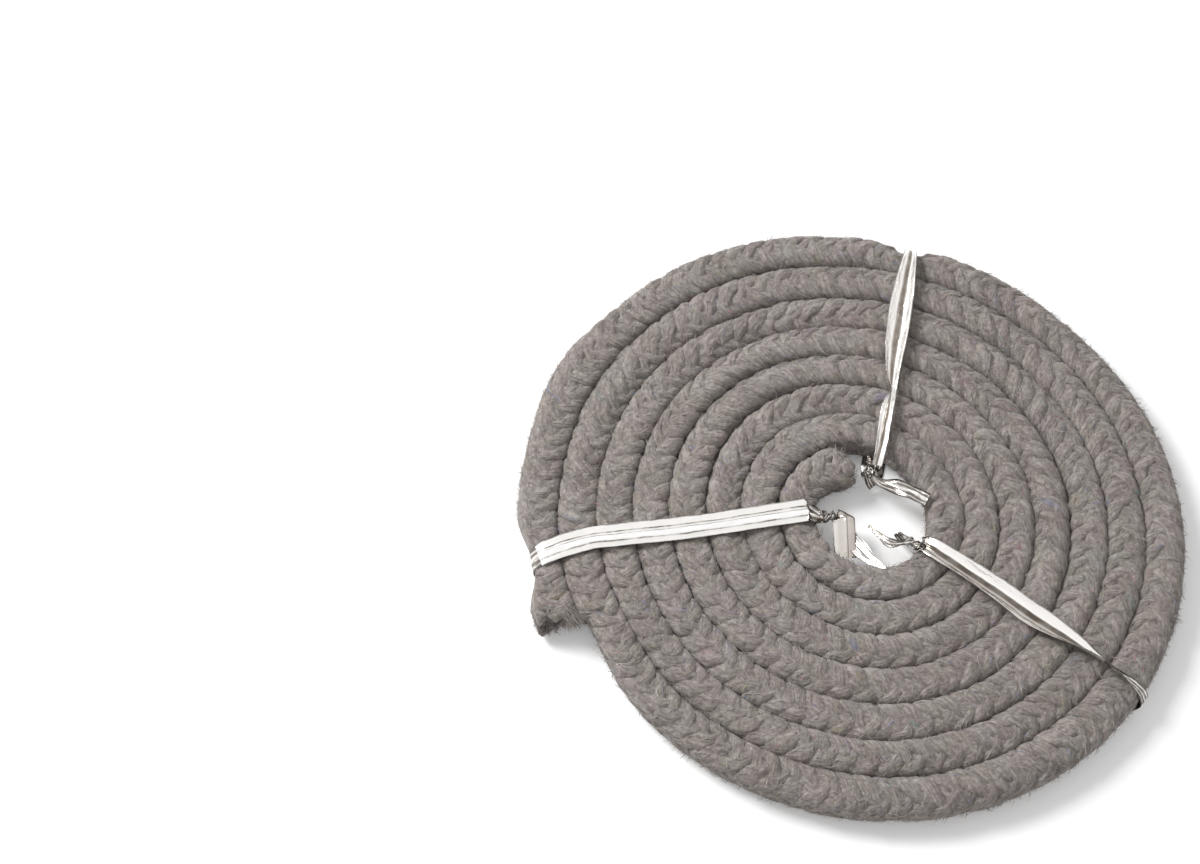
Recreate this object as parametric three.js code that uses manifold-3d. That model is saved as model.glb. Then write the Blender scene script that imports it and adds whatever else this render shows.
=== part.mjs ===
// Gland packing coil: one length of braided packing rope, wound flat like a watch spring and held by
// three foil covered twist ties. Each tie is a strap round the turns, twisted shut in the centre hole.
// Millimetres, +Z up. The coil lies flat, and the undersides of the three straps are what it rests on.
import * as THREE from 'three';
import { mergeVertices } from 'three/addons/utils/BufferGeometryUtils.js';
import Module from 'manifold-3d';

// Rope. The turns lie side by side with a little slack, and a gap is kept between them all the way.
const ropeSize = 6;
const turnSlack = 0.15;
const turnGap = 0.3;
const ropeSides = 12;

// Spiral. Radii are to the middle of the rope, angles are seen from above, anticlockwise from +X.
const innerEndRadius = 9.4;
const turnCount = 7.25;
const outerEndAngle = 201;
const stepsPerTurn = 24;

// Twist ties. A strap stands off the rope by one clearance, above, below and round both edges.
const strapWidth = 4;
const strapThickness = 0.5;
const strapClearance = 0.3;
const strapArcSteps = 7;

// Pigtail of each tie, twisted out of the strap's two ends and pointing into the centre hole
const pigtailLength = 2.2;
const pigtailWidth = 1.9;
const pigtailThickness = 1.1;
const pigtailTurns = 0.75;
const pigtailSteps = 8;
const tailThickness = 0.4;
const tailSteps = 6;

// Where each tie sits. lean is how far up the strap's round inner end the pigtail starts, in degrees.
// A tail's tip is placed in the hole: its angle, its share of the way out to the rope, and its share
// of the rope's height.
const ties = [
  {
    name: 'twist_tie_left', angle: 188, lean: -8,
    tails: [
      { tipAngle: 258, out: 0.8, height: 0.2, width: 3.2 },
      { tipAngle: 292, out: 0.86, height: 0.62, width: 2.6 },
    ],
  },
  {
    name: 'twist_tie_back', angle: 77, lean: 25,
    tails: [
      { tipAngle: 14, out: 0.9, height: 0.95, width: 2.2 },
      { tipAngle: 62, out: 0.55, height: 0.25, width: 2.2 },
    ],
  },
  {
    name: 'twist_tie_front', angle: 324, lean: 40,
    tails: [
      { tipAngle: 275, out: 0.2, height: 1.1, width: 1.6 },
      { tipAngle: 345, out: 0.6, height: 0.3, width: 1.8 },
    ],
  },
];

// Finishes, from the photograph.
const ropeYarn = { color: 0x8f8781, roughness: 0.95, metalness: 0 };
const tieFoil = { color: 0xc9cacc, roughness: 0.3, metalness: 0.9 };

// Worked out from the driving sizes
const turnPitch = ropeSize + turnSlack;
const ropeWidth = turnPitch - turnGap;
const ropeCornerScale = 1 / Math.cos(Math.PI / ropeSides);
const ropeCornerRadius = (ropeSize / 2) * ropeCornerScale;
const strapInnerRadius = ropeCornerRadius + strapClearance;
const strapOuterRadius = strapInnerRadius + strapThickness;
const ropeCentreHeight = strapOuterRadius;
const innerEndAngle = outerEndAngle - 360 * turnCount;
const stepAngle = 360 / stepsPerTurn;
const ropeSteps = Math.ceil(stepsPerTurn * turnCount);
const flattening = Math.cos(Math.PI / stepsPerTurn);
const coil = new THREE.Group();

const wasm = await Module();
wasm.setup();

function toSolid(geometry) {
  const bare = geometry.clone();
  bare.deleteAttribute('normal');
  bare.deleteAttribute('uv');
  const merged = mergeVertices(bare, 1e-4);
  return new wasm.Manifold(new wasm.Mesh({
    numProp: 3,
    vertProperties: new Float32Array(merged.attributes.position.array),
    triVerts: new Uint32Array(merged.index.array),
  }));
}

function toGeometry(solid) {
  const mesh = solid.getMesh();
  const geometry = new THREE.BufferGeometry();
  geometry.setAttribute('position', new THREE.BufferAttribute(new Float32Array(mesh.vertProperties), 3));
  geometry.setIndex(new THREE.BufferAttribute(new Uint32Array(mesh.triVerts), 1));
  geometry.computeVertexNormals();
  return geometry;
}

// Middle of the rope at an angle in degrees, counted down from the outer end as the rope winds inward
function turnRadius(angle) {
  return innerEndRadius + turnPitch * (angle - innerEndAngle) / 360;
}

// The same angle on the innermost turn, and on the outermost
function innermost(angle) {
  return angle + 360 * Math.ceil((innerEndAngle - angle) / 360);
}

function outermost(angle) {
  return angle + 360 * Math.floor((outerEndAngle - angle) / 360);
}

// Flat spiral from the outer end to the inner end, clockwise seen from above. Its steps are of equal
// angle, so that the corners of neighbouring turns line up, and only the last one may be shorter.
class FlatSpiral extends THREE.Curve {
  angleAt(t) {
    return Math.max(innerEndAngle, outerEndAngle - t * ropeSteps * stepAngle);
  }

  getPoint(t, target = new THREE.Vector3()) {
    const angle = this.angleAt(t);
    const radians = THREE.MathUtils.degToRad(angle);
    const radius = turnRadius(angle);
    return target.set(radius * Math.cos(radians), radius * Math.sin(radians), ropeCentreHeight);
  }

  getTangent(t, target = new THREE.Vector3()) {
    const angle = this.angleAt(t);
    const radians = THREE.MathUtils.degToRad(angle);
    const radius = turnRadius(angle);
    const closing = turnPitch / (2 * Math.PI);
    return target.set(
      radius * Math.sin(radians) - closing * Math.cos(radians),
      -radius * Math.cos(radians) - closing * Math.sin(radians),
      0,
    ).normalize();
  }

  getUtoTmapping(u) {
    return u;
  }
}

// Packing rope: a many sided section, flat above and below, swept along the spiral.
// The section's X is the rope's height and its Y the width across the coil.
function packingRope() {
  const section = new THREE.Shape();
  for (let side = 0; side < ropeSides; side += 1) {
    const corner = 2 * Math.PI * (side + 0.5) / ropeSides;
    const height = (ropeSize / 2) * ropeCornerScale * Math.cos(corner);
    const width = (ropeWidth / 2) * ropeCornerScale * Math.sin(corner);
    if (side === 0) section.moveTo(height, width);
    else section.lineTo(height, width);
  }
  section.closePath();
  return new THREE.ExtrudeGeometry(section, {
    steps: ropeSteps,
    extrudePath: new FlatSpiral(),
    curveSegments: 1,
    bevelEnabled: false,
  });
}

// Radii of the innermost and outermost rope that a strap at this angle goes round. On the inside the
// rope curves towards the strap, so the radius there is the least over the strap's width.
function strapSpan(angle) {
  const middle = turnRadius(innermost(angle));
  const halfWidth = THREE.MathUtils.radToDeg(Math.asin(strapWidth / 2 / middle));
  const atEdges = [-halfWidth, halfWidth].map((side) => {
    const radius = turnRadius(innermost(angle) + side);
    return radius * Math.cos(THREE.MathUtils.degToRad(side));
  });
  return [Math.min(...atEdges) * flattening, turnRadius(outermost(angle))];
}

// Radius of the centre hole at an angle
function holeRadius(angle) {
  return turnRadius(innermost(angle)) * flattening - ropeWidth / 2;
}

// Side view of a strap: a long loop with round ends, as points of one radius about both rope centres.
function loopOutline(inner, outer, radius) {
  const points = [];
  for (const [centre, start] of [[outer, -90], [inner, 90]]) {
    for (let step = 0; step <= strapArcSteps; step += 1) {
      const turn = THREE.MathUtils.degToRad(start + 180 * step / strapArcSteps);
      points.push(new THREE.Vector2(centre + radius * Math.cos(turn), radius * Math.sin(turn)));
    }
  }
  return points;
}

// Strap standing in the XZ plane, with X running out from the coil's centre.
function strapLoop(inner, outer) {
  const outline = new THREE.Shape(loopOutline(inner, outer, strapOuterRadius));
  const clearRadius = strapInnerRadius / Math.cos(Math.PI / (2 * strapArcSteps));
  outline.holes.push(new THREE.Path(loopOutline(inner, outer, clearRadius)));
  const strap = new THREE.ExtrudeGeometry(outline, { depth: strapWidth, bevelEnabled: false });
  strap.translate(0, 0, -strapWidth / 2);
  strap.rotateX(Math.PI / 2);
  strap.translate(0, 0, ropeCentreHeight);
  return strap;
}

// Flat bar along a curve. It starts on edge or flat by startTurn, and turns about the curve by twist.
function bentBar(curve, width, thickness, steps, startTurn, twist) {
  const bar = new THREE.BoxGeometry(width, thickness, 1, 1, 1, steps);
  const corners = bar.attributes.position;
  const up = new THREE.Vector3(0, 0, 1);
  for (let i = 0; i < corners.count; i += 1) {
    const t = corners.getZ(i) + 0.5;
    const tangent = curve.getTangent(t);
    const across = new THREE.Vector3().crossVectors(up, tangent).normalize();
    across.applyAxisAngle(tangent, startTurn + twist * t);
    const normal = new THREE.Vector3().crossVectors(tangent, across);
    const place = curve.getPoint(t);
    place.addScaledVector(across, corners.getX(i));
    place.addScaledVector(normal, corners.getY(i));
    corners.setXYZ(i, place.x, place.y, place.z);
  }
  return bar;
}

// Twist tie: strap, twisted pigtail on its hole side, and two flat tails bent away from the pigtail
function twistTie({ angle, lean, tails }) {
  const [inner, outer] = strapSpan(angle);
  let tie = toSolid(strapLoop(inner, outer));
  const leanRadians = THREE.MathUtils.degToRad(lean);
  const rootRadius = (strapInnerRadius + strapOuterRadius) / 2;
  const root = new THREE.Vector3(
    inner - rootRadius * Math.cos(leanRadians), 0, ropeCentreHeight + rootRadius * Math.sin(leanRadians));
  const tip = root.clone().setX(root.x - pigtailLength);
  const twist = 2 * Math.PI * pigtailTurns;
  const pigtail = bentBar(
    new THREE.LineCurve3(root, tip), pigtailWidth, pigtailThickness, pigtailSteps, 0, twist);
  tie = tie.add(toSolid(pigtail));
  const tailRoot = tip.clone().setX(tip.x + pigtailThickness / 2);
  for (const { tipAngle, out, height, width } of tails) {
    const around = THREE.MathUtils.degToRad(tipAngle - angle);
    const reach = out * holeRadius(tipAngle);
    const base = ropeCentreHeight - ropeSize / 2;
    const end = new THREE.Vector3(
      reach * Math.cos(around), reach * Math.sin(around), base + height * ropeSize);
    const bend = tailRoot.clone().lerp(end, 0.5).setZ(tailRoot.z);
    const path = new THREE.QuadraticBezierCurve3(tailRoot, bend, end);
    tie = tie.add(toSolid(bentBar(path, width, tailThickness, tailSteps, 0, 0)));
  }
  const geometry = toGeometry(tie);
  geometry.rotateZ(THREE.MathUtils.degToRad(angle));
  return geometry;
}

function addPiece(name, geometry, finish) {
  const piece = new THREE.Mesh(geometry, new THREE.MeshStandardMaterial(finish));
  piece.name = name;
  coil.add(piece);
}

addPiece('packing_rope', packingRope(), ropeYarn);
for (const tie of ties) {
  addPiece(tie.name, twistTie(tie), tieFoil);
}

// Origin: under the middle of the whole coil, on the surface it lies on.
coil.updateMatrixWorld(true);
const extent = new THREE.Box3().setFromObject(coil, true);
const middle = extent.getCenter(new THREE.Vector3());
coil.position.set(-middle.x, -middle.y, -extent.min.z);

export default coil;
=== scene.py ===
import math

import bpy
import numpy as np
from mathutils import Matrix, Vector


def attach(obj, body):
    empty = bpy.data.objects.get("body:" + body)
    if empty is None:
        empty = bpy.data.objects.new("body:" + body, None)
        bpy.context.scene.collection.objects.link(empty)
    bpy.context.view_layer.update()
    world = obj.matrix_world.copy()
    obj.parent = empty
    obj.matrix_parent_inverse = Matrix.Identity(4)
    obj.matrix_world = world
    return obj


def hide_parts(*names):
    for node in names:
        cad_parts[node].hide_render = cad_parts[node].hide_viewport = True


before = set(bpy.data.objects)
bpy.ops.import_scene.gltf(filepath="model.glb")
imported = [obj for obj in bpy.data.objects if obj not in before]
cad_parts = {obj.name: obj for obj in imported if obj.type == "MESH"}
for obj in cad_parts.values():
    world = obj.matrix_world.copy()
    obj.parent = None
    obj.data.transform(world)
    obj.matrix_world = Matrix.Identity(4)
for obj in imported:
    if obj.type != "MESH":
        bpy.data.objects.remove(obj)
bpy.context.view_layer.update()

# Picture: a plain product shot that looks down on the coil at 62 degrees, with the coil low and to the
# right in the frame. Lengths in this script are millimetres until a mesh or an object is made.
MM = 0.001
camera_distance = 408
camera_elevation = math.radians(62)
middle_of_picture = (-42.2, 17.3)
lens_length = 69.9
scene = bpy.context.scene
scene.view_settings.view_transform = "Standard"
camera_data = bpy.data.cameras.new("camera")
camera_data.lens = lens_length
camera_data.sensor_width = 36
camera_data.clip_start = 0.01
camera = bpy.data.objects.new("camera", camera_data)
scene.collection.objects.link(camera)
camera.location = Vector((
    middle_of_picture[0],
    middle_of_picture[1] - camera_distance * math.cos(camera_elevation),
    camera_distance * math.sin(camera_elevation),
)) * MM
camera.rotation_euler = (math.pi / 2 - camera_elevation, 0, 0)
scene.camera = camera

# Route of the rope: one length laid as a flat spiral, clockwise from its outer end at the left to its
# inner end in the hole. It is wound by hand, so the turns swell and close up a little round the coil.
rope_size = 6.0
turn_pitch = 6.15
turn_count = 7.25
outer_end_radius = 54.0
outer_end_angle = math.radians(201)
spiral_middle = (2.0, -1.53)
route_steps = 9000
route_turns = np.linspace(0, turn_count, route_steps)

# How far the hand laid rope lies outside an even spiral, every ninth of a turn in from its outer end.
# The second turn is pushed in a little where it meets the frayed end of the first.
laid_outside = np.array([
    0.9, 1.8, 2.8, 0.9, -0.5, 0.8, 1.1, 0.5, -0.5,
    -0.1, 1.1, 1.8, 0.3, -0.5, 0.4, 0.7, 0.3, -0.5,
    -0.4, 0.9, 1.3, -0.1, -0.5, 0.5, 1.0, 0.5, -0.5,
    -0.5, 1.2, 1.7, 0.4, -0.4, 0.4, 0.8, 0.1, -0.8,
    -0.6, 1.4, 1.9, 0.9, -0.2, 0.4, 0.9, 0.2, -0.9,
    -0.6, 1.3, 2.1, 1.2, 0.2, 0.8, 1.1, 0.3, -0.9,
    -0.5, 1.2, 2.2, 1.4, 0.3, 0.8, 1.1, 0.3, -0.8,
    -0.4, 0.9, 1.2])
smoothing_steps = 27
pushed_by_frayed_end = 1.2
frayed_end_turn = 0.99
frayed_end_spread = 0.03
fine_turns = np.arange(-0.3, turn_count + 1.3, 0.004)
fine_laid = np.interp(fine_turns, np.arange(len(laid_outside)) / 9, laid_outside)
fine_laid = np.pad(fine_laid, smoothing_steps // 2, mode="edge")
fine_laid = np.convolve(fine_laid, np.ones(smoothing_steps) / smoothing_steps, "valid")
push = np.exp(-((fine_turns - frayed_end_turn) / frayed_end_spread) ** 2)
fine_laid = fine_laid - pushed_by_frayed_end * push

# Nothing holds the outermost turn in, so it has spread here and there, most of all in one bulge
spread_outside = np.array([-0.25, -0.05, 0.05, -0.15, -0.35, 0.35, 0.6, 0.5, 0.05, -0.25])
bulge_turn = 0.142
bulge_spread = 0.03
bulge_in_route = 0.5
bulge_in_width = 0.9
bulge = np.exp(-((fine_turns - bulge_turn) / bulge_spread) ** 2)
fine_laid = fine_laid + bulge_in_route * bulge
fine_spread = np.interp(fine_turns, np.arange(10) / 9, spread_outside) + bulge_in_width * bulge


def turn_radius(turns):
    """Middle of the rope after that many turns in from its outer end."""
    return outer_end_radius - turn_pitch * turns + np.interp(turns, fine_turns, fine_laid)


route_angle = outer_end_angle - 2 * np.pi * route_turns
route_radius = turn_radius(route_turns)
route_x = spiral_middle[0] + route_radius * np.cos(route_angle)
route_y = spiral_middle[1] + route_radius * np.sin(route_angle)
route_step = np.hypot(np.diff(route_x), np.diff(route_y))
route_length = np.concatenate([[0], np.cumsum(route_step)])
route_heading = np.unwrap(np.arctan2(np.gradient(route_y), np.gradient(route_x)))
rope_length = route_length[-1]
gap_above_bench = 0.05
rope_centre_height = rope_size / 2 + gap_above_bench

# Room for the rope on each side of its middle line: half the way to the next turn, or its own width
# where it lies free, on the outside of the coil and round the hole. Its inner end has opened a little.
half_pitch = turn_pitch / 2
drawn_in_round_hole = 0.25
inner_end_opening = 0.9
inner_end_opened_length = 4
inner_end_swelling = inner_end_opening * np.exp((route_length - rope_length) / inner_end_opened_length)
free_outside = half_pitch + np.interp(route_turns, fine_turns, fine_spread)
free_inside = half_pitch - drawn_in_round_hole + inner_end_swelling
to_next_out = (turn_radius(route_turns - 1) - route_radius) / 2
to_next_in = (route_radius - turn_radius(route_turns + 1)) / 2
room_outside = np.where(route_turns > 1, to_next_out, free_outside)
room_inside = np.where(route_turns < turn_count - 1, to_next_in, free_inside)


def lay_on_route(along, outward, upward):
    """Takes points of a straight rope, in mm along, outward and upward, to their place in the coil."""
    inside = np.clip(along, 0, rope_length)
    beyond = along - inside
    heading = np.interp(inside, route_length, route_heading)
    x = np.interp(inside, route_length, route_x) + beyond * np.cos(heading)
    y = np.interp(inside, route_length, route_y) + beyond * np.sin(heading)
    x = x - outward * np.sin(heading)
    y = y + outward * np.cos(heading)
    return np.stack([x, y, rope_centre_height + upward], axis=-1)


# Ties, where they cross the rope: each is a flat ribbon from the hole to the outer edge, over the turns
# and back under them. It is pulled tight, so the soft rope gives a little beneath it on both sides.
tie_width = 4.2
tie_reach = {
    "left": ((-7.2, -0.9), (-53.0, -9.4)),
    "back": ((4.9, 9.0), (13.6, 50.8)),
    "front": ((13.0, -7.9), (46.0, -33.8)),
}
rope_past_tie_reach = 0.55
crown_under_tie = 6.02
rope_above_bench_at_tie = 0.26
edge_rounding = 2.7
shoulder_width = 0.9
waist_width = 7
past_tie_ends = 7


def ease(share):
    """Share from 0 to 1 that starts and ends gently."""
    return share * share * (3 - 2 * share)


def give_under_ties(points):
    """Flattens placed points of the rope where a tie crosses over and under them, and rounds them off
    where it bends down over the outermost turn."""
    for inner, outer in tie_reach.values():
        inner = np.array(inner)
        line = np.array(outer) - inner
        reach = np.linalg.norm(line)
        line = line / reach
        out = (points[..., :2] - inner) @ line
        side = np.abs((points[..., :2] - inner) @ np.array([-line[1], line[0]]))
        along_tie = (out > -past_tie_ends) & (out < reach + past_tie_ends)
        near = ease(np.clip((tie_width / 2 + shoulder_width - side) / shoulder_width, 0, 1) * along_tie)
        waist = ease(np.clip((tie_width / 2 + waist_width - side) / waist_width, 0, 1) * along_tie)
        pressed = np.clip(points[..., 2], rope_above_bench_at_tie, crown_under_tie)
        points[..., 2] += (pressed - points[..., 2]) * near
        past = np.maximum(out - reach - rope_past_tie_reach, 0) * waist
        points[..., :2] -= past[..., None] * line
        outward = np.maximum(out - past - (reach + rope_past_tie_reach - edge_rounding), 0)
        upward = np.maximum(points[..., 2] - (crown_under_tie - edge_rounding), 0)
        upward += np.minimum(points[..., 2] - (rope_above_bench_at_tie + edge_rounding), 0)
        from_corner = np.maximum(np.hypot(outward, upward), 1e-6)
        rounded = np.maximum(1 - edge_rounding / from_corner, 0) * (outward > 0) * near
        points[..., 2] -= upward * rounded
        points[..., :2] -= (outward * rounded)[..., None] * line
    return points


# Yarns: the rope is a round plait of eight soft spun yarns, four wound each way, each over two and
# under two. So each turn shows two rows of slanted stitches that meet along its crest.
plait_lead = 13.3
yarns_each_way = 4
yarn_width = 2.4
yarn_thickness = 1.85
yarn_ring_step = 0.6
yarn_sides = 10
over_radius = rope_size / 2 - yarn_thickness / 2 + 0.1
relief_on_outer_turns = 0.27
relief_on_inner_turns = 0.62
relief_grows_from = 0.25
relief_grows_over = 0.45
float_ease = 0.62
float_sharpness = 1.7
wander_angle = 0.13
wander_length = 7
height_wobble = 0.08
height_wobble_length = 3.2
slub = 0.09
slub_length = 2.2
lump_depth = 0.085
lump_length = 0.9
end_flare = 0.32
flared_length = 3.5
outer_cut = 1.2
inner_end_past_route = 1.7
plait_random = np.random.default_rng(11)


def soft_noise(length, scale, size, sides=1):
    """Smooth random wobble of about one unit over a length, at a scale in mm, a column for each side."""
    knots = plait_random.normal(0, 1, (int(length / scale) + 8, sides))
    if sides > 1:
        knots = (knots + np.roll(knots, 1, 1) + np.roll(knots, -1, 1)) / 1.6
    at = np.linspace(2, len(knots) - 4, size)
    whole = at.astype(int)
    part = ease((at - whole)[:, None])
    wobble = knots[whole] * (1 - part) + knots[whole + 1] * part
    return wobble if sides > 1 else wobble[:, 0]


def make_mesh(name, vertices, faces, uv):
    """Mesh object from points in mm, faces of four corners and one UV pair for each corner."""
    mesh = bpy.data.meshes.new(name)
    mesh.vertices.add(len(vertices))
    mesh.loops.add(faces.size)
    mesh.polygons.add(len(faces))
    mesh.vertices.foreach_set("co", (vertices * MM).ravel())
    mesh.loops.foreach_set("vertex_index", faces.ravel().astype(np.int32))
    mesh.polygons.foreach_set("loop_start", np.arange(0, faces.size, 4, dtype=np.int32))
    mesh.uv_layers.new(name="fibres").data.foreach_set("uv", uv.ravel())
    mesh.update(calc_edges=True)
    mesh.shade_smooth()
    piece = bpy.data.objects.new(name, mesh)
    scene.collection.objects.link(piece)
    return piece


def tube_faces(rings, sides):
    """Faces of four corners round a closed tube, and the ring and side number of every corner."""
    ring = np.arange(rings - 1)[:, None]
    side = np.arange(sides)[None]
    corner_ring = np.stack(np.broadcast_arrays(ring, ring, ring + 1, ring + 1), -1)
    corner_side = np.stack([side, side + 1, side + 1, side], -1) + 0 * corner_ring
    corner_ring = corner_ring + 0 * corner_side
    faces = corner_ring * sides + corner_side % sides
    return faces.reshape(-1, 4), corner_ring.reshape(-1, 4), corner_side.reshape(-1, 4)


def drawn_shut(ring):
    """The ring of points shrunk almost to its middle."""
    middle = ring.mean(1, keepdims=True)
    return middle + 0.02 * (ring - middle)


def closed_tube(name, rings, lengthwise, roundabout):
    """Tube through rings of points, its ends drawn shut. UV is mm along the piece and mm round it."""
    rings = np.concatenate([drawn_shut(rings[:1]), rings, drawn_shut(rings[-1:])])
    lengthwise = np.concatenate([lengthwise[:1], lengthwise, lengthwise[-1:]])
    faces, corner_ring, corner_side = tube_faces(*rings.shape[:2])
    uv = np.stack([lengthwise[corner_ring], roundabout[corner_side]], -1)
    return make_mesh(name, rings.reshape(-1, 3), faces, uv)


roll_depth = 0.13
roll_waves = [(plait_random.uniform(60, 320), plait_random.uniform(0, 2 * np.pi)) for _ in range(6)]


def rope_roll(along):
    """How far the rope is rolled about itself there, in radians, so that the crest line wanders."""
    return sum(roll_depth * np.sin(2 * np.pi * along / wave + start) for wave, start in roll_waves)


# The turns are pressed together, so each side goes this far past the middle between two turns. The
# section is a soft square: the sides fill their room, and the crest is a little flattened.
pressed_together = 0.32 + 0.1 * soft_noise(rope_length, 9, route_steps)
least_room = 0.86 * half_pitch
most_room = 1.35 * half_pitch
crest_radius = rope_size / 2 - 0.4
crest_softness = 0.62
side_fill = 1.12
crest_stretch = 1.02
crest_above_size = 0.15


def squeeze(points):
    """Presses straight rope points against their neighbours and the bench, and rounds the crest."""
    along, outward, upward = points[..., 0].copy(), points[..., 1].copy(), points[..., 2].copy()
    inside = np.clip(along, 0, rope_length)
    outer_room = np.interp(inside, route_length, room_outside)
    inner_room = np.interp(inside, route_length, room_inside)
    room = np.clip(np.where(outward > 0, outer_room, inner_room), least_room, most_room)
    room = room + np.interp(inside, route_length, pressed_together)
    reach = np.hypot(outward, upward)
    past_crest = crest_softness * np.tanh((reach - crest_radius) / crest_softness)
    eased = np.where(reach > crest_radius, crest_radius + past_crest, reach)
    scale = eased / np.maximum(reach, 1e-6)
    outward = outward * scale
    upward = upward * scale
    outward = room * np.tanh(side_fill * outward / (rope_size / 2)) / np.tanh(side_fill)
    upward = np.clip(upward * crest_stretch, -rope_size / 2, rope_size / 2 + crest_above_size)
    return along, outward, upward


def yarn_rings(index):
    """Rings of one yarn along the straight rope, with their distance along the yarn."""
    way = 1 if index < yarns_each_way else -1
    between = np.pi / yarns_each_way
    offset = 2 * np.pi * (index % yarns_each_way) / yarns_each_way + (0 if way == 1 else between)
    start, end = plait_random.uniform(-0.7, 0.7, 2)
    along = np.arange(outer_cut + start, rope_length + inner_end_past_route - end, yarn_ring_step)
    count = len(along)
    wander = wander_angle * soft_noise(rope_length, wander_length, count)
    base = way * 2 * np.pi * along / plait_lead + offset + wander
    angle = base - way * float_ease / 2 * np.sin(2 * (base - between))
    over = way * np.cos(2 * (base - between))
    level = np.tanh(float_sharpness * over) / np.tanh(float_sharpness)
    share = np.clip((along / rope_length - relief_grows_from) / relief_grows_over, 0, 1)
    relief = relief_on_outer_turns + (relief_on_inner_turns - relief_on_outer_turns) * share
    wobble = height_wobble * soft_noise(rope_length, height_wobble_length, count)
    radius = over_radius - relief * (1 - level) / 2 + wobble
    to_end = np.minimum(along - along[0], along[-1] - along)
    radius = radius * (1 + end_flare * np.exp(-to_end / flared_length))
    angle = angle + rope_roll(along)
    middle = np.stack([along, radius * np.sin(angle), radius * np.cos(angle)], -1)
    tangent = np.gradient(middle, axis=0)
    tangent /= np.linalg.norm(tangent, axis=1, keepdims=True)
    lift = np.stack([np.zeros(count), np.sin(angle), np.cos(angle)], -1)
    lift -= tangent * (lift * tangent).sum(1, keepdims=True)
    lift /= np.linalg.norm(lift, axis=1, keepdims=True)
    across = np.cross(tangent, lift)
    shown = (level + 1) / 2
    wide_and_narrow = 1 + slub * soft_noise(rope_length, slub_length, count)
    thick_and_thin = 1 + slub * soft_noise(rope_length, slub_length, count)
    half_width = yarn_width / 2 * (0.80 + 0.26 * shown) * wide_and_narrow
    half_thick = yarn_thickness / 2 * (0.9 + 0.14 * shown) * thick_and_thin
    turn = np.linspace(0, 2 * np.pi, yarn_sides, endpoint=False)
    lumps = 1 + lump_depth * soft_noise(rope_length, lump_length, count, yarn_sides)
    rings = (
        middle[:, None]
        + across[:, None] * (half_width[:, None] * np.cos(turn) * lumps)[..., None]
        + lift[:, None] * (half_thick[:, None] * np.sin(turn) * lumps)[..., None]
    )
    distance = np.concatenate([[0], np.cumsum(np.linalg.norm(np.diff(middle, axis=0), axis=1))])
    return rings, distance


def linear(hex_colour):
    """sRGB hex to the linear colour that shaders take."""
    channels = [int(hex_colour[i:i + 2], 16) / 255 for i in (1, 3, 5)]
    return [c / 12.92 if c <= 0.04045 else ((c + 0.055) / 1.055) ** 2.4 for c in channels] + [1]


def add(tree, kind, settings=None, links=None):
    """Adds a node with its settings, by property or socket, and its links, by socket name or number."""
    made = tree.nodes.new(kind)
    for key, value in (settings or {}).items():
        if isinstance(key, int) or key in made.inputs:
            made.inputs[key].default_value = value
        elif key == "stops":
            ramp = made.color_ramp
            while len(ramp.elements) < len(value):
                ramp.elements.new(1)
            for element, (position, colour) in zip(ramp.elements, value):
                element.position = position
                element.color = linear(colour)
        else:
            setattr(made, key, value)
    for key, source in (links or {}).items():
        tree.links.new(made.inputs[key], source)
    return made


def new_material(name):
    """Empty node material and its tree."""
    made = bpy.data.materials.new(name)
    made.use_nodes = True
    made.node_tree.nodes.clear()
    return made, made.node_tree


# Spun cotton yarn, carded from mixed grey rags: matt and hairy. Fibres are drawn along the yarn in
# lighter and darker streaks, with small lumps, and a few coloured ones are left from the rags. Real
# fibres are 0.02 mm thick, too fine to show, so a streak is a bundle of them, 0.4 mm by 2.5 mm.
streaks_per_mm_along = 0.4
streaks_per_mm_across = 2.6
yarn_twist = 0.35
lumps_per_mm = 1.2
blotches_per_mm = 0.16
dyes_per_mm = 0.24
cotton, tree = new_material("reclaimed_cotton_yarn")
surface = add(tree, "ShaderNodeTexCoord")
parts = add(tree, "ShaderNodeSeparateXYZ", links={0: surface.outputs["UV"]})
twisted = add(tree, "ShaderNodeMath", {"operation": "MULTIPLY_ADD", 1: yarn_twist}, {
    0: parts.outputs["X"], 2: parts.outputs["Y"]})
along_fibre = add(tree, "ShaderNodeMath", {"operation": "MULTIPLY", 1: streaks_per_mm_along}, {
    0: parts.outputs["X"]})
across_fibre = add(tree, "ShaderNodeMath", {"operation": "MULTIPLY", 1: streaks_per_mm_across}, {
    0: twisted.outputs[0]})
fibre_place = add(tree, "ShaderNodeCombineXYZ", links={
    "X": along_fibre.outputs[0], "Y": across_fibre.outputs[0]})
fibre = add(tree, "ShaderNodeTexNoise", {"Scale": 1.0, "Detail": 4, "Roughness": 0.65}, {
    "Vector": fibre_place.outputs[0]})
in_mm = add(tree, "ShaderNodeVectorMath", {"operation": "SCALE", "Scale": 1 / MM}, {
    0: surface.outputs["Object"]})
lump = add(tree, "ShaderNodeTexNoise", {"Scale": lumps_per_mm, "Detail": 4, "Roughness": 0.75}, {
    "Vector": in_mm.outputs[0]})
blotch = add(tree, "ShaderNodeTexNoise", {"Scale": blotches_per_mm, "Detail": 2}, {
    "Vector": in_mm.outputs[0]})
dye = add(tree, "ShaderNodeTexNoise", {"Scale": dyes_per_mm, "Detail": 2}, {"Vector": in_mm.outputs[0]})
streak_and_lump = add(tree, "ShaderNodeMath", {"operation": "MULTIPLY_ADD", 1: 1.1}, {
    0: fibre.outputs["Fac"], 2: lump.outputs["Fac"]})
shade = add(tree, "ShaderNodeMath", {"operation": "MULTIPLY_ADD", 1: 0.35}, {
    0: blotch.outputs["Fac"], 2: streak_and_lump.outputs[0]})
spread = add(tree, "ShaderNodeMapRange", {"From Min": 0.95, "From Max": 1.5}, {"Value": shade.outputs[0]})
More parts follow.
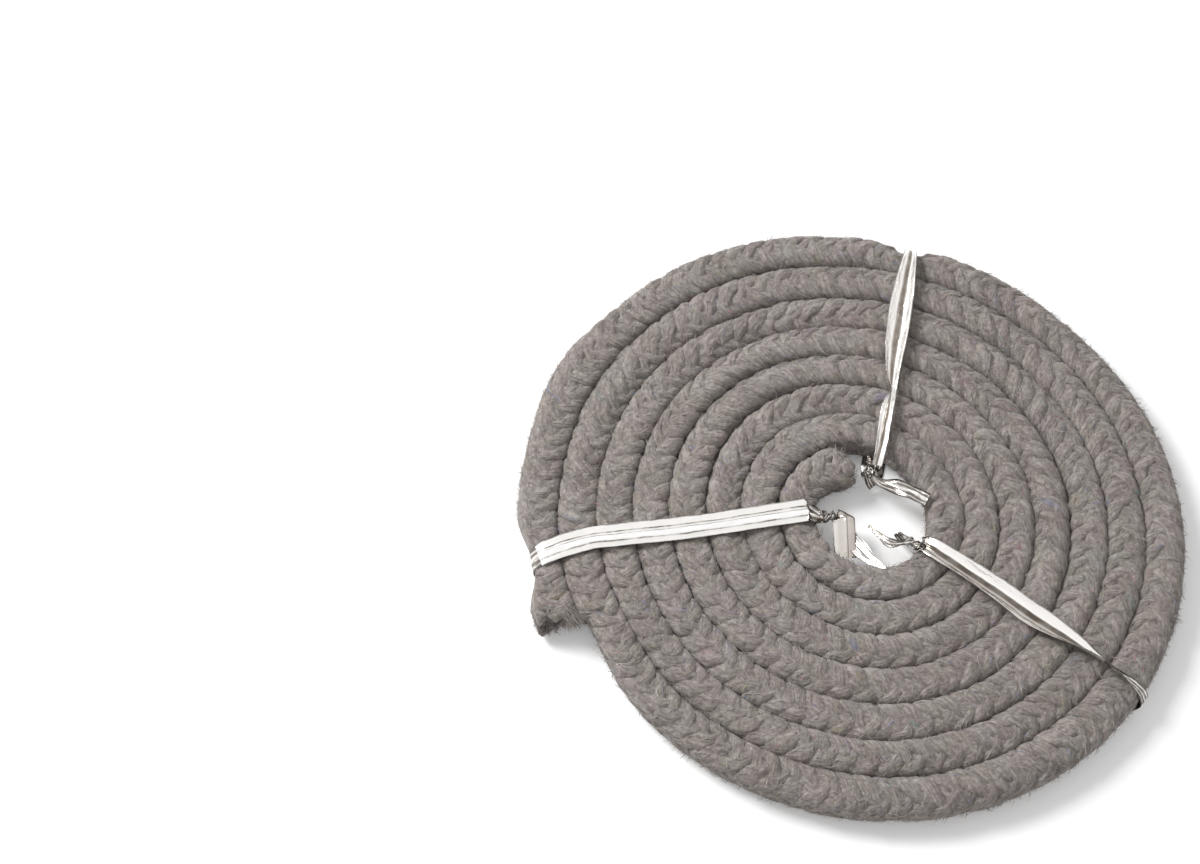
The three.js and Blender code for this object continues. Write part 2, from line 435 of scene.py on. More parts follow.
grey = add(tree, "ShaderNodeValToRGB", {"stops": [(0.0, "#6B645F"), (0.5, "#88807B"), (1.0, "#A7A09B")]}, {
    "Fac": spread.outputs[0]})
tinted = add(tree, "ShaderNodeMix", {"data_type": "RGBA", "blend_type": "OVERLAY", "Factor": 0.07}, {
    6: grey.outputs["Color"], 7: dye.outputs["Color"]})
lint_place = add(tree, "ShaderNodeVectorMath", {"operation": "MULTIPLY", 1: (0.45, 1.4, 1)}, {
    0: surface.outputs["UV"]})
lint = add(tree, "ShaderNodeTexVoronoi", {"Scale": 0.65}, {"Vector": lint_place.outputs[0]})
lint_random = add(tree, "ShaderNodeSeparateColor", links={0: lint.outputs["Color"]})
is_lint = add(tree, "ShaderNodeMath", {"operation": "GREATER_THAN", 1: 0.982}, {
    0: lint_random.outputs[0]})
lint_core = add(tree, "ShaderNodeMapRange", {"From Min": 0.7, "From Max": 0.1, "To Max": 0.5}, {
    "Value": lint.outputs["Distance"]})
lint_share = add(tree, "ShaderNodeMath", {"operation": "MULTIPLY"}, {
    0: is_lint.outputs[0], 1: lint_core.outputs[0]})
lint_colour = add(tree, "ShaderNodeValToRGB", {"stops": [
    (0.0, "#5F6E92"), (0.25, "#8E6A78"), (0.45, "#6F8A86"), (0.62, "#7F7396"), (0.8, "#8B8A5E")]}, {
    "Fac": lint_random.outputs[1]})
lint_colour.color_ramp.interpolation = "CONSTANT"
colour = add(tree, "ShaderNodeMix", {"data_type": "RGBA"}, {
    "Factor": lint_share.outputs[0], 6: tinted.outputs[2], 7: lint_colour.outputs["Color"]})
fibre_bump = add(tree, "ShaderNodeBump", {"Strength": 1.0, "Distance": 0.00024}, {
    "Height": fibre.outputs["Fac"]})
lump_bump = add(tree, "ShaderNodeBump", {"Strength": 1.0, "Distance": 0.0003}, {
    "Height": lump.outputs["Fac"], "Normal": fibre_bump.outputs["Normal"]})
shader = add(tree, "ShaderNodeBsdfPrincipled", {
    "Roughness": 0.95, "Specular IOR Level": 0.2, "Sheen Weight": 0.25, "Sheen Roughness": 0.5}, {
    "Base Color": colour.outputs[2], "Normal": lump_bump.outputs["Normal"]})
add(tree, "ShaderNodeOutputMaterial", links={"Surface": shader.outputs[0]})

perimeter = np.linspace(0, np.pi * (yarn_width + yarn_thickness) / 2, yarn_sides + 1)
streaks_shifted = 97
yarns = []
yarn_surfaces = []
for yarn_index in range(2 * yarns_each_way):
    straight, yarn_distance = yarn_rings(yarn_index)
    along, outward, upward = squeeze(straight)
    placed = give_under_ties(lay_on_route(along, outward, upward))
    lengthwise = yarn_distance + streaks_shifted * yarn_index
    yarn = closed_tube(f"rope_yarn_{yarn_index + 1}", placed, lengthwise, perimeter)
    yarn.data.materials.append(cotton)
    yarns.append(yarn)
    yarn_surfaces.append((placed, np.hypot(outward, upward), upward))

# Core: a bundle of the same yarn laid straight inside the plait. It fills the rope out and shows only as
# soft shade between the stitches and at the cut ends.
core_radius = 2.55
core_sides = 14
core_ring_step = 0.9
core_inside_ends = 0.5
core_end = rope_length + inner_end_past_route - core_inside_ends
core_along = np.arange(outer_cut + core_inside_ends, core_end, core_ring_step)
core_turn = np.linspace(0, 2 * np.pi, core_sides, endpoint=False)
core_lumps = core_radius * (1 + 0.03 * soft_noise(rope_length, 1.4, len(core_along), core_sides))
core_straight = np.stack([
    np.broadcast_to(core_along[:, None], core_lumps.shape),
    core_lumps * np.sin(core_turn), core_lumps * np.cos(core_turn)], -1)
core_placed = give_under_ties(lay_on_route(*squeeze(core_straight)))
core_girth = np.linspace(0, 2 * np.pi * core_radius, core_sides + 1)
core = closed_tube("rope_core", core_placed, core_along, core_girth)
core.data.materials.append(cotton)

# Loose fibres: short hairs that lie all over the yarns, and a few that stand. They are densest at the
# rope's two cut ends, where the plait has opened and frays. Real hairs are too fine to show, so these
# are drawn 0.06 to 0.13 mm wide.
loose_random = np.random.default_rng(23)
fibres_on_rope = 112000
fibre_rows = 3
fibre_taper = np.array([1, 0.85, 0.3])
fibre_curl = 0.32
fibre_arch = 2.6
skin_radius = 2.45
underside = -2.2
share_standing = 0.03
root_depth = 0.03


def unit(vectors):
    """Vectors of length one that point the same way."""
    return vectors / np.maximum(np.linalg.norm(vectors, axis=-1, keepdims=True), 1e-9)


def hairs(start, direction, rise, sag, normal, length, half_width):
    """Points of thin flat hairs, as rows of two. Each rises off the surface and sags round it, both as
    a share of its length."""
    count = len(start)
    t = np.linspace(0, 1, fibre_rows)[None, :, None]
    curl = np.cross(direction, normal) * loose_random.normal(0, fibre_curl, (count, 1))
    lift = rise[:, None, None] * np.sin(fibre_arch * t) - sag[:, None, None] * t * t
    line = start[:, None] + length[:, None, None] * (
        direction[:, None] * t + curl[:, None] * t * t + normal[:, None] * lift)
    across = unit(np.cross(direction, normal))[:, None]
    to_edge = across * (half_width[:, None, None] * fibre_taper[None, :, None])
    return np.stack([line - to_edge, line + to_edge], axis=2)


starts, normals, tangents = [], [], []
for placed, reach, height in yarn_surfaces:
    ring_middle = placed.mean(1, keepdims=True)
    outside = (reach > skin_radius) & (height > underside)
    chosen = np.argwhere(outside)
    chosen = chosen[loose_random.choice(len(chosen), fibres_on_rope // len(yarns))]
    ring, side = chosen[:, 0], chosen[:, 1]
    share = loose_random.random((len(ring), 1))
    next_ring = np.minimum(ring + 1, len(placed) - 1)
    point = placed[ring, side] * (1 - share) + placed[next_ring, side] * share
    starts.append(point)
    normals.append(unit(point - ring_middle[ring, 0]))
    before = np.clip(ring - 2, 0, len(placed) - 1)
    after = np.clip(ring + 2, 0, len(placed) - 1)
    tangents.append(unit(ring_middle[after, 0] - ring_middle[before, 0]))
start = np.concatenate(starts)
normal = np.concatenate(normals)
tangent = np.concatenate(tangents)
count = len(start)
swing = loose_random.normal(0, 1, (count, 1))
swing *= loose_random.choice([0.35, 1.1], (count, 1), p=[0.7, 0.3])
heading = unit(tangent * np.cos(swing) + np.cross(normal, tangent) * np.sin(swing))
heading *= loose_random.choice([-1, 1], (count, 1))
stands = loose_random.random(count) < share_standing
rise_standing = loose_random.uniform(0.15, 0.35, count)
rise_lying = loose_random.uniform(0.01, 0.12, count)
rise = np.where(stands, rise_standing, rise_lying)
length = loose_random.uniform(0.7, 2.0, count)
sag = np.where(stands, 0, length * np.sin(swing[:, 0]) ** 2 / 3)
half_width = loose_random.uniform(0.028, 0.065, count)
fibre_points = [hairs(start - normal * root_depth, heading, rise, sag, normal, length, half_width)]

# Frayed ends and two small snags on the outer side: a distance along the rope, a place across it
# (outward, up) and its size, the way that the hairs point (along, outward, up), how far they spread,
# how many there are, and how short and long
frays = [
    (outer_cut + 0.3, (0, 0), 2.8, (-1, 0.0, 0.1), 0.7, 420, (0.7, 1.7)),
    (outer_cut + 1.0, (1.2, 1.4), 1.6, (-1, 0.1, 0.2), 0.45, 160, (0.8, 1.8)),
    (outer_cut + 1.2, (-2.0, 2.1), 1.1, (-1, -0.25, -0.12), 0.12, 420, (2.4, 4.6)),
    (rope_length + 1.2, (0, 0), 2.8, (1, 0.0, 0.3), 0.8, 520, (0.7, 1.9)),
    (rope_length + 0.8, (-1.4, 0.8), 1.4, (0.7, -0.6, 0.3), 0.5, 260, (1.0, 2.4)),
    (rope_length + 0.6, (1.2, 1.6), 1.4, (0.8, 0.3, 0.6), 0.5, 200, (0.8, 1.8)),
    (206, (2.7, 1.2), 0.8, (-0.4, 1, 0.5), 0.45, 60, (0.8, 2.0)),
    (243, (2.7, 0.8), 0.7, (0.3, 1, 0.4), 0.5, 45, (0.8, 1.8)),
]
for at, (sideways, height), spot, way, spread, number, (shortest, longest) in frays:
    disc = loose_random.normal(0, 0.5, (number, 2)) * spot
    disc *= np.minimum(1, spot / np.maximum(np.linalg.norm(disc, axis=1, keepdims=True), 1e-6))
    across = sideways + disc[:, 0]
    above = height + disc[:, 1]
    root = np.full(number, at) + loose_random.uniform(-0.5, 0.5, number)
    aim = unit(np.array(way) + loose_random.normal(0, spread, (number, 3)))
    first = lay_on_route(root, across, above)
    second = lay_on_route(root + aim[:, 0], across + aim[:, 1], above + aim[:, 2])
    heading = unit(second - first)
    sideways_normal = unit(np.cross(heading, loose_random.normal(0, 1, (number, 3))))
    fibre_points.append(hairs(
        first, heading, loose_random.uniform(-0.1, 0.2, number), np.zeros(number), sideways_normal,
        loose_random.uniform(shortest, longest, number), loose_random.uniform(0.03, 0.07, number)))

# Hair of the same reclaimed cotton, paler singly than in the yarn: each has its own shade of grey, and
# a few are blue, pink, teal, violet or olive. Clumps of them are lighter and darker.
clumps_per_mm = 0.8
hair_cotton, tree = new_material("reclaimed_cotton_hairs")
surface = add(tree, "ShaderNodeTexCoord")
parts = add(tree, "ShaderNodeSeparateXYZ", links={0: surface.outputs["UV"]})
colour = add(tree, "ShaderNodeValToRGB", {"stops": [
    (0.0, "#736C67"), (0.2, "#7F7772"), (0.45, "#8C847F"), (0.72, "#9A928D"), (0.9, "#ACA49F"),
    (0.97, "#6A7FA6"), (0.976, "#A06C7C"), (0.982, "#6F9490"), (0.988, "#857AA0"), (0.994, "#93925F")]}, {
    "Fac": parts.outputs["X"]})
colour.color_ramp.interpolation = "CONSTANT"
in_mm = add(tree, "ShaderNodeVectorMath", {"operation": "SCALE", "Scale": 1 / MM}, {
    0: surface.outputs["Object"]})
clump = add(tree, "ShaderNodeTexNoise", {"Scale": clumps_per_mm, "Detail": 3, "Roughness": 0.65}, {
    "Vector": in_mm.outputs[0]})
level = add(tree, "ShaderNodeMapRange", {"From Min": 0.3, "From Max": 0.7, "To Min": 0.74, "To Max": 1.24}, {
    "Value": clump.outputs["Fac"]})
clumped = add(tree, "ShaderNodeVectorMath", {"operation": "SCALE"}, {
    0: colour.outputs["Color"], "Scale": level.outputs[0]})
shader = add(tree, "ShaderNodeBsdfPrincipled", {
    "Roughness": 0.9, "Specular IOR Level": 0.2, "Sheen Weight": 0.2}, {"Base Color": clumped.outputs[0]})
add(tree, "ShaderNodeOutputMaterial", links={"Surface": shader.outputs[0]})

hair_pieces = 3
least_hair_height = 0.03
all_hairs = give_under_ties(np.concatenate(fibre_points))
all_hairs[..., 2] = np.maximum(all_hairs[..., 2], least_hair_height)
loose_fibres = []
for part_index, points in enumerate(np.array_split(all_hairs, hair_pieces)):
    row = 2 * np.arange(fibre_rows - 1)[:, None]
    faces = row + np.array([0, 1, 3, 2])
    each = np.arange(len(points))[:, None, None]
    all_faces = (faces[None] + each * fibre_rows * 2).reshape(-1, 4)
    shade = loose_random.random(len(points))
    uv = np.zeros((len(points), len(faces), 4, 2))
    uv[..., 0] = shade[:, None, None]
    uv[..., 1] = (faces // 2) / fibre_rows
    piece = make_mesh(f"loose_fibres_{part_index + 1}", points.reshape(-1, 3), all_faces, uv)
    piece.data.materials.append(hair_cotton)
    loose_fibres.append(piece)
for piece in yarns + [core] + loose_fibres:
    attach(piece, "root")
    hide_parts("packing_rope")

# Twist ties: flat ribbons of bright metallised film over a thin core wire, which stands as a ridge along
# the middle. Each goes round all turns, and its two ends are twisted together in the hole.
foil_thickness = 0.14
foil_step = 0.3
foil_across = np.array([
    -1, -0.82, -0.64, -0.52, -0.42, -0.24, -0.12, 0, 0.12, 0.24, 0.42, 0.52, 0.64, 0.82, 1])
map_half_width = 2.0
wire_ridge_height = 0.17
crumple_length = 2.2
crumple_depth = 0.035
lowest_film = 0.01
foil_random = np.random.default_rng(3)


def metallised_film(name, bands, most_faded, wandering=0.7):
    """Bright aluminised polyester film, soft mirror like, with painted bands of shade and dark reflection
    at places across its width, which wander sideways and fade out to plain bright film by up to the given
    share."""
    film, tree = new_material(name)
    surface = add(tree, "ShaderNodeTexCoord")
    parts = add(tree, "ShaderNodeSeparateXYZ", links={0: surface.outputs["UV"]})
    crumple_place = add(tree, "ShaderNodeVectorMath", {"operation": "MULTIPLY", 1: (0.45, 1.6, 1)}, {
        0: surface.outputs["UV"]})
    crumple = add(tree, "ShaderNodeTexNoise", {"Scale": 1.0, "Detail": 3}, {
        "Vector": crumple_place.outputs[0]})
    wander_place = add(tree, "ShaderNodeVectorMath", {"operation": "MULTIPLY", 1: (0.16, 0.5, 1)}, {
        0: surface.outputs["UV"]})
    wander = add(tree, "ShaderNodeTexNoise", {"Scale": 1.0, "Detail": 4, "Roughness": 0.6}, {
        "Vector": wander_place.outputs[0]})
    centred = add(tree, "ShaderNodeMath", {"operation": "SUBTRACT", 1: 0.5}, {0: wander.outputs["Fac"]})
    shifted = add(tree, "ShaderNodeMath", {"operation": "MULTIPLY_ADD", 1: wandering}, {
        0: centred.outputs[0], 2: parts.outputs["Y"]})
    place = add(tree, "ShaderNodeMapRange", {"From Min": -map_half_width, "From Max": map_half_width}, {
        "Value": shifted.outputs[0]})
    # Painted shade and dark reflection: bands along the film at places across its width
    lines = add(tree, "ShaderNodeValToRGB", {"stops": bands}, {"Fac": place.outputs[0]})
    # Patches where the painted bands fade out to plain bright film
    fade_place = add(tree, "ShaderNodeVectorMath", {"operation": "MULTIPLY", 1: (0.3, 0.25, 1)}, {
        0: surface.outputs["UV"]})
    fade_noise = add(tree, "ShaderNodeTexNoise", {"Scale": 1.0, "Detail": 3}, {
        "Vector": fade_place.outputs[0]})
    band_fade = add(tree, "ShaderNodeMapRange", {"From Min": 0.42, "From Max": 0.58, "To Max": most_faded}, {
        "Value": fade_noise.outputs["Fac"]})
    colour = add(tree, "ShaderNodeMix", {"data_type": "RGBA", 7: linear("#F4F1EE")}, {
        "Factor": band_fade.outputs[0], 6: lines.outputs["Color"]})
    rough = add(tree, "ShaderNodeMapRange", {"To Min": 0.12, "To Max": 0.34}, {
        "Value": crumple.outputs["Fac"]})
    bump = add(tree, "ShaderNodeBump", {"Strength": 0.6, "Distance": 0.0003}, {
        "Height": crumple.outputs["Fac"]})
    shader = add(tree, "ShaderNodeBsdfPrincipled", {"Metallic": 1.0}, {
        "Base Color": colour.outputs[2], "Roughness": rough.outputs[0], "Normal": bump.outputs["Normal"]})
    add(tree, "ShaderNodeOutputMaterial", links={"Surface": shader.outputs[0]})
    return film


# Flat film shows two or three dark lengthwise lines beside the wire and darker edges, all painted shade.
# Film that has been folded to a channel has painted shade and dark reflection all along its fold.
flat_film = metallised_film("metallised_film_flat", [
    (0.0, "#8B8784"), (0.06, "#F3F0ED"), (0.295, "#F3F0ED"), (0.32, "#5A5450"), (0.335, "#5A5450"),
    (0.375, "#E5E1DD"),
    (0.43, "#F6F3F0"), (0.47, "#8A8480"), (0.5, "#FFFFFF"), (0.62, "#FFFFFF"), (0.7, "#F0EDEA"),
    (0.73, "#6A645F"), (0.745, "#6A645F"), (0.785, "#E9E6E2"), (0.97, "#F3F0ED"), (1.0, "#8B8784")], 0.6)
folded_film_painted_shade = metallised_film("metallised_film_folded_painted_shade", [
    (0.0, "#9A9591"), (0.07, "#F3F0ED"), (0.32, "#F6F3F0"), (0.37, "#9A9188"), (0.46, "#7B7268"),
    (0.57, "#8B8278"), (0.63, "#C4BDB6"), (0.67, "#F6F3F0"), (0.93, "#F3F0ED"), (1.0, "#9A9591")], 0.12)
# Film curled over on its edge has painted shade in bands, darkest along its middle.
curled_film_painted_shade = metallised_film("metallised_film_curled_painted_shade", [
    (0.0, "#857D76"), (0.08, "#EDE9E5"), (0.18, "#E5E0DB"), (0.24, "#7B726A"), (0.3, "#C9C2BC"),
    (0.36, "#B3ABA3"), (0.41, "#665E55"), (0.56, "#5A5249"), (0.61, "#8B837C"), (0.64, "#F8F5F2"),
    (0.94, "#F3F0ED"), (1.0, "#9A9591")], 0.12)

# Creased film, at the twist and where a strap bends away into shade, has painted dark and bright facets:
# painted shade and reflection. A flat tail is painted a little greyer than the strap, as shade, with the
# wire's edge as one painted dark line.
creased_film_painted_shade = metallised_film("metallised_film_creased_painted_shade", [
    (0.0, "#4A443E"), (0.14, "#8A827B"), (0.2, "#F3F0ED"), (0.27, "#5E564F"), (0.42, "#766E67"),
    (0.47, "#F6F3F0"), (0.55, "#C9C2BC"), (0.6, "#5B544D"), (0.76, "#8B837C"), (0.8, "#F3F0ED"),
    (0.87, "#6A625B"), (1.0, "#48423C")], 0.1, 3.2)
tail_film_painted_shade = metallised_film("metallised_film_tail_painted_shade", [
    (0.0, "#A39B96"), (0.07, "#E2DCD6"), (0.3, "#CDC6BF"), (0.53, "#D8D1CA"), (0.6, "#C6BEB7"),
    (0.635, "#6F665F"), (0.67, "#C4BCB5"), (0.93, "#BAB2AB"), (1.0, "#857D77")], 0.15, 0.25)


def smooth_path(stations):
    """Even steps through stations of several values each, the first three being a place."""
    stations = np.array(stations, float)
    padded = np.concatenate([[2 * stations[0] - stations[1]], stations, [2 * stations[-1] - stations[-2]]])
    dense = []
    for i in range(len(stations) - 1):
        a, b, c, d = padded[i:i + 4]
        t = np.linspace(0, 1, 24, endpoint=False)[:, None]
        dense.append(0.5 * (
            2 * b + (c - a) * t + (2 * a - 5 * b + 4 * c - d) * t ** 2 + (3 * b - a - 3 * c + d) * t ** 3))
    dense = np.concatenate(dense + [stations[-1:]])
    gone = np.concatenate([[0], np.cumsum(np.linalg.norm(np.diff(dense[:, :3], axis=0), axis=1))])
    even = np.arange(0, gone[-1], foil_step)
    return np.stack([np.interp(even, gone, dense[:, i]) for i in range(dense.shape[1])], -1), even


def ribbon(name, node_name, film, stations):
    """Tie through stations of place, direction across, width, channel depth and film, which is 0 for the
    strap's own film, 1 for creased film with painted shade and 2 for a flat tail with painted shade."""
    values, gone = smooth_path(stations)
    place, across, width, channel = values[:, :3], values[:, 3:6], values[:, 6], values[:, 7]
    tangent = unit(np.gradient(place, axis=0))
    across = unit(across - tangent * (across * tangent).sum(1, keepdims=True))
    normal = np.cross(tangent, across)
    count = len(gone)
    u = foil_across[None]
    ridge = wire_ridge_height * np.exp(-(u / 0.13) ** 2)
    left_crease = -0.07 * np.exp(-((u + 0.52) / 0.09) ** 2)
    right_crease = -0.05 * np.exp(-((u - 0.64) / 0.1) ** 2)
    knots = foil_random.normal(0, 1, (int(gone[-1] / crumple_length) + 4, len(foil_across)))
    at = gone / crumple_length
    whole = at.astype(int)
    part = (at - whole)[:, None]
    crumpled = crumple_depth * (knots[whole] * (1 - part) + knots[whole + 1] * part)
    folded = channel[:, None] * (u ** 2) * width[:, None] / 2
    height = ridge + left_crease + right_crease + crumpled + folded
    narrowing = np.sqrt(np.maximum(1 - np.minimum(np.abs(channel), 0.95) ** 2 * 0.5, 0.2))
    flat = u * (width * narrowing)[:, None] / 2
    spot = place[:, None] + across[:, None] * flat[..., None]
    top = spot + normal[:, None] * (height + foil_thickness / 2)[..., None]
    under = spot + normal[:, None] * (height - foil_thickness / 2)[..., None]
    rings = np.concatenate([top, under[:, ::-1]], 1)
    rings[..., 2] = np.maximum(rings[..., 2], lowest_film)
    roundabout = np.concatenate([foil_across, foil_across[::-1], foil_across[:1]]) * map_half_width
    tie = closed_tube(name, rings, gone, roundabout)
    for each_film in (film, creased_film_painted_shade, tail_film_painted_shade):
        tie.data.materials.append(each_film)
    film_number = np.rint(values[:, 8]).astype(np.int32)[np.minimum(np.arange(count + 1), count - 1)]
    tie.data.polygons.foreach_set("material_index", np.repeat(film_number, rings.shape[1]))
    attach(tie, "root")
    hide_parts(node_name)
    return tie


knot_turns = 0.75
knot_length = 2.2
knot_radius = 0.35
knot_channel = 0.4
twist_stations = 9
stations_underneath = 12
# The strap's film has painted shade, as creased film, inside this, where it turns down into the hole
painted_shade_inside = -0.25
no_painted_shade = 99


def tie_stations(name, top, tail_a, tail_b, knot_at, knot_drop, widths, tail_films,
                 painted_shade_from=no_painted_shade):
    """Stations of a whole tie, from one tail's tip over the coil, round its edge and back under it. The
    strap's film has painted shade, as creased film, from there outward, and where it runs into the knot."""
    inner, outer = (np.array(end) for end in tie_reach[name])
    line = outer - inner
    reach = np.linalg.norm(line)
    out = np.append(line / reach, 0)
    side = np.array([-out[1], out[0], 0])
    up = np.array([0, 0, 1.0])
    base = np.append(inner, 0)

    def at(r, z, s=0.0):
        return base + out * r + up * z + side * s

    knot = np.array(knot_at)

    def twist(way, phase, width):
        for i in range(twist_stations):
            share = i / (twist_stations - 1) if way > 0 else 1 - i / (twist_stations - 1)
            q = 2 * np.pi * knot_turns * share + phase
            spot = knot + out * (share - 0.5) * knot_length + up * knot_drop * (share - 0.5)
            spot = spot + (side * np.sin(q) + up * np.cos(q)) * knot_radius
            # The twist has painted shade, as creased film
            yield [*spot, *(way * (side * np.cos(q) - up * np.sin(q))), width, knot_channel, 1]

    stations = [[*p, *a, w, c, tail_films[0]] for p, a, w, c in tail_a] + list(twist(1, 0, widths[0]))
    for r, z, s, w, c, roll in top:
        across = side * math.cos(roll) + up * math.sin(roll)
        # Painted shade, as creased film, where the strap turns into the hole and past its given place
        # outward
        film_number = 1 if r < painted_shade_inside or r > painted_shade_from else 0
        stations.append([*at(r, z, s), *across, w, c, film_number])
    for r in np.linspace(reach - 2, 1.5, stations_underneath):
        stations.append([*at(r, 0.1), *side, tie_width - 0.1, 0, 0])
    # Painted shade, as creased film, where the strap comes up into the hole from underneath
    stations.append([*at(-0.8, 0.6), *side, tie_width - 0.8, 0.1, 1])
    stations += list(twist(-1, np.pi, widths[1]))
    return stations + [[*p, *a, w, c, tail_films[1]] for p, a, w, c in tail_b]


# Each top is a row of stations over the coil: how far out, how high and how far to the side, then the
# strap's width, the depth of its channel and its roll. A tail has a place, the way across it, its
# width and its channel.
left_top = [
    (-2.35, 4.5, 1.15, 2.0, 0.2, 0), (-1.4, 4.9, 0.75, 3.3, 0.08, 0), (-0.45, 5.6, 0.3, 4.0, 0.02, 0),
    (-0.15, 6.1, 0, 4.2, 0, 0), (0.1, 6.25, 0, 4.2, 0, 0), (1, 6.28, 0, 4.2, 0, 0),
    (3, 6.3, 0, 4.2, 0, 0), (10, 6.25, -0.15, 4.2, 0.04, 0.02), (20, 6.25, -0.4, 4.2, 0, -0.02),
    (29, 6.3, -0.95, 4.2, 0.04, 0), (35.5, 6.3, -1.4, 4.2, 0.02, 0.02), (38, 6.3, -1.35, 4.2, 0, 0.03),
    (41.5, 6.28, -1.0, 4.2, 0, 0), (43.6, 6.2, -0.6, 4.1, 0, 0), (45.4, 5.95, -0.25, 4.1, 0, 0),
    (46.6, 5.05, 0, 4.1, 0, 0), (47.3, 3.4, 0, 4.0, 0, 0), (46.6, 1.0, 0, 4.0, 0, 0)]
# The left strap has painted shade from 45.9 mm out, where it bends down over the outermost turn, and one
# tail is painted greyer.
ribbon("twist_tie_left_film", "twist_tie_left", flat_film, tie_stations(
    "left", left_top,
    [((-0.75, -8.3, 2.8), (1, 0.02, 0), 3.7, 0.04), ((-0.85, -5.4, 4.0), (1, 0.03, 0), 3.8, 0.06),
     ((-0.95, -2.5, 5.1), (1, 0.03, 0), 3.8, 0.1), ((-1.0, -1.9, 5.15), (1, 0.05, 0), 3.7, 0.15),
     ((-1.3, -1.5, 4.8), (0.9, 0.3, 0.2), 2.9, 0.3), ((-1.9, -1.2, 4.5), (0.7, 0.5, 0.4), 2.3, 0.4)],
    [((-0.6, -2.9, 3.6), (0.5, 0.6, 0.6), 2.0, 0.4), ((1.2, -6.2, 3.5), (0.75, 0.5, 0.35), 2.9, 0.2),
     ((3.2, -8.8, 3.9), (0.7, 0.6, 0.5), 2.2, 0.3), ((5.8, -11.6, 5.0), (0.6, 0.6, 0.3), 0.35, 0.1)],
    (-3.4, -1.3, 4.4), 0.4, (1.9, 1.6), (2, 0), 45.9))

back_top = [
    (-1.4, 5.3, -0.2, 2.0, 0.4, 0.6), (0.2, 6.3, -0.3, 2.1, 0.6, 0.5), (3, 6.75, -0.5, 2.2, 0.5, 0.2),
    (8, 6.8, -0.6, 2.2, 0.35, -0.1), (11.2, 6.8, -0.65, 2.0, 0.6, 0.2), (12.6, 6.8, -0.6, 1.8, 0.9, 0.9),
    (15, 6.6, -0.4, 2.4, 0.9, 0.3), (19, 6.45, -0.1, 3.5, 0.75, 0.1), (25, 6.4, 0, 4.3, 0.6, 0),
    (32, 6.4, 0.1, 4.3, 0.6, 0), (37, 6.4, 0.1, 3.7, 0.75, 0), (40.5, 6.35, 0, 2.9, 0.7, 0),
    (42.4, 5.9, 0, 2.2, 0.4, 0), (43.5, 4.9, 0, 2.1, 0.3, 0), (44.0, 3.2, 0, 2.2, 0.3, 0),
    (43.2, 1.0, 0, 3.0, 0.1, 0)]
# The back tie has painted shade along its fold, and both tails have painted shade as creased film.
ribbon("twist_tie_back_film", "twist_tie_back", folded_film_painted_shade, tie_stations(
    "back", back_top,
    [((13.3, 0.9, 6.4), (0.5, 0.85, 0.25), 2.3, 0.05), ((10.6, 2.6, 6.1), (0.45, 0.8, -0.2), 2.8, 0.12),
     ((8.2, 3.9, 5.6), (0.5, 0.75, 0.3), 2.7, 0.15), ((5.6, 5.4, 4.9), (0.4, 0.9, -0.3), 1.9, 0.5)],
    [((4.0, 6.6, 3.4), (0.8, -0.3, 0.5), 1.6, 0.3), ((4.4, 6.2, 2.1), (0.9, 0.3, 0.2), 1.7, 0.2),
     ((4.9, 6.0, 0.9), (0.8, 0.5, 0.1), 1.5, 0.1)],
    (4.2, 8.2, 4.9), 0.5, (1.9, 1.7), (1, 1)))

front_top = [
    (-1.3, 5.6, 0.1, 2.4, 0.3, 0.2), (0.2, 6.3, 0.1, 3.3, 0.3, 0.1), (2.4, 6.5, 0, 3.7, 0.4, 0),
    (7, 6.4, 0.1, 4.0, 0.6, 0), (14, 6.35, 0.1, 4.3, 0.6, 0), (20, 6.4, 0, 4.4, 0.5, 0.1),
    (25, 6.5, 0, 4.2, 0.45, -0.25), (29, 6.7, 0.1, 3.5, 0.45, -0.6), (33, 6.9, 0.1, 2.5, 0.45, -1.0),
    (36, 6.85, 0, 2.3, 0.4, -1.15), (39.4, 6.5, 0, 2.2, 0.35, -0.7), (41.3, 5.8, 0, 2.0, 0.2, -0.3),
    (42.35, 4.6, 0, 2.0, 0.15, 0.1), (42.75, 3.0, 0, 2.2, 0.1, 0), (41.8, 1.0, 0, 3.0, 0.1, 0)]
# The front tie has painted shade along its curl and from 34 mm out, and both tails have painted shade as
# creased film.
ribbon("twist_tie_front_film", "twist_tie_front", curled_film_painted_shade, tie_stations(
    "front", front_top,
    [((3.3, -3.2, 4.6), (0.4, 0.9, 0.1), 0.5, 0.1), ((5.0, -5.4, 5.3), (0.5, 0.8, 0.1), 1.0, 0.3),
     ((6.6, -6.9, 5.7), (0.2, 0.9, 0.2), 1.7, 0.2), ((8.6, -7.1, 5.8), (0.1, 0.8, -0.5), 1.3, 0.5)],
    [((9.6, -5.4, 3.6), (0.3, 0.9, 0.2), 1.5, 0.3), ((9.0, -4.2, 2.4), (0.8, 0.2, 0.4), 1.6, 0.3),
     ((8.4, -2.8, 1.2), (0.9, 0.3, 0.1), 1.3, 0.1)],
    (10.9, -7.2, 5.5), 0.4, (1.5, 1.4), (1, 1), 34))

# Studio: a white bench that runs out of the picture, and soft light from the upper left
bench_half = 1.5
bench_mesh = bpy.data.meshes.new("bench")
bench_mesh.from_pydata(
    [(-bench_half, -bench_half, 0), (bench_half, -bench_half, 0), (bench_half, bench_half, 0),
     (-bench_half, bench_half, 0)], [], [(0, 1, 2, 3)])
bench = bpy.data.objects.new("bench", bench_mesh)
scene.collection.objects.link(bench)

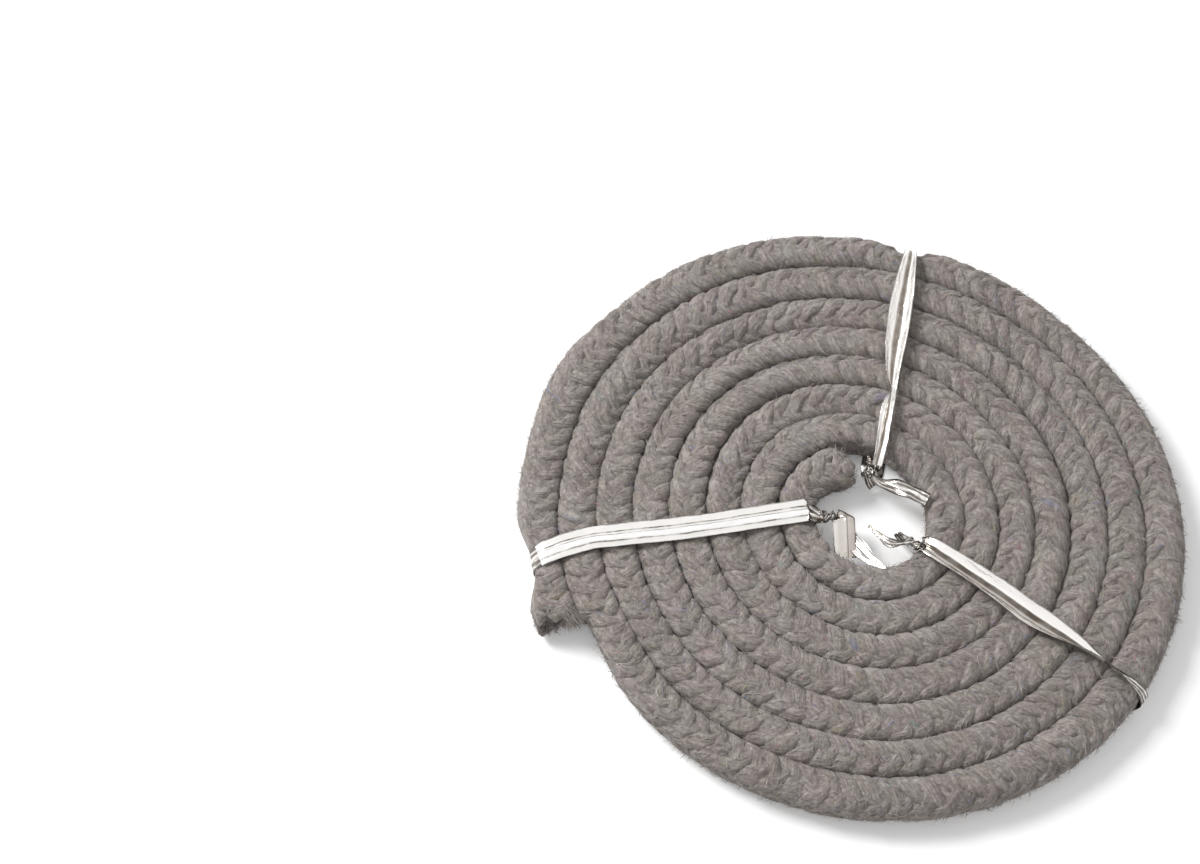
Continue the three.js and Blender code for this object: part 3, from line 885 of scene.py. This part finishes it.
# Matt white card. It adds its own white to what the camera and mirrors see, so that it runs out to a
# clean white background and still takes the coil's shadow.
own_white = 0.14
card, tree = new_material("matt_white_card")
matt = add(tree, "ShaderNodeBsdfDiffuse", {"Color": linear("#F2F2F2")})
ray = add(tree, "ShaderNodeLightPath")
seen = add(tree, "ShaderNodeMath", {"operation": "MAXIMUM"}, {
    0: ray.outputs["Is Camera Ray"], 1: ray.outputs["Is Glossy Ray"]})
glow = add(tree, "ShaderNodeEmission", {"Color": (1, 1, 1, 1), "Strength": own_white})
dark = add(tree, "ShaderNodeEmission", {"Strength": 0.0})
lit = add(tree, "ShaderNodeMixShader", links={0: seen.outputs[0], 1: dark.outputs[0], 2: glow.outputs[0]})
both = add(tree, "ShaderNodeAddShader", links={0: matt.outputs[0], 1: lit.outputs[0]})
add(tree, "ShaderNodeOutputMaterial", links={"Surface": both.outputs[0]})
bench_mesh.materials.append(card)

# White room: pale to the camera and to mirrors, and a little dimmer as light
room_light = 0.62
world = bpy.data.worlds.new("studio")
scene.world = world
world.use_nodes = True
tree = world.node_tree
tree.nodes.clear()
ray = add(tree, "ShaderNodeLightPath")
seen = add(tree, "ShaderNodeMath", {"operation": "MAXIMUM"}, {
    0: ray.outputs["Is Camera Ray"], 1: ray.outputs["Is Glossy Ray"]})
level = add(tree, "ShaderNodeMapRange", {"To Min": room_light, "To Max": 1.0}, {"Value": seen.outputs[0]})
sky = add(tree, "ShaderNodeBackground", {"Color": (1, 1, 1, 1)}, {"Strength": level.outputs[0]})
add(tree, "ShaderNodeOutputWorld", links={"Surface": sky.outputs[0]})


def soft_lamp(name, place, aim, size, power):
    """Square area lamp at a place in metres, turned to its aim."""
    data = bpy.data.lights.new(name, "AREA")
    data.size = size
    data.energy = power
    lamp = bpy.data.objects.new(name, data)
    scene.collection.objects.link(lamp)
    lamp.location = place
    lamp.rotation_euler = (Vector(aim) - Vector(place)).to_track_quat("-Z", "Y").to_euler()


soft_lamp("key_light", (-0.5, 0.3, 0.5), (0, 0, 0), 0.3, 6.0)
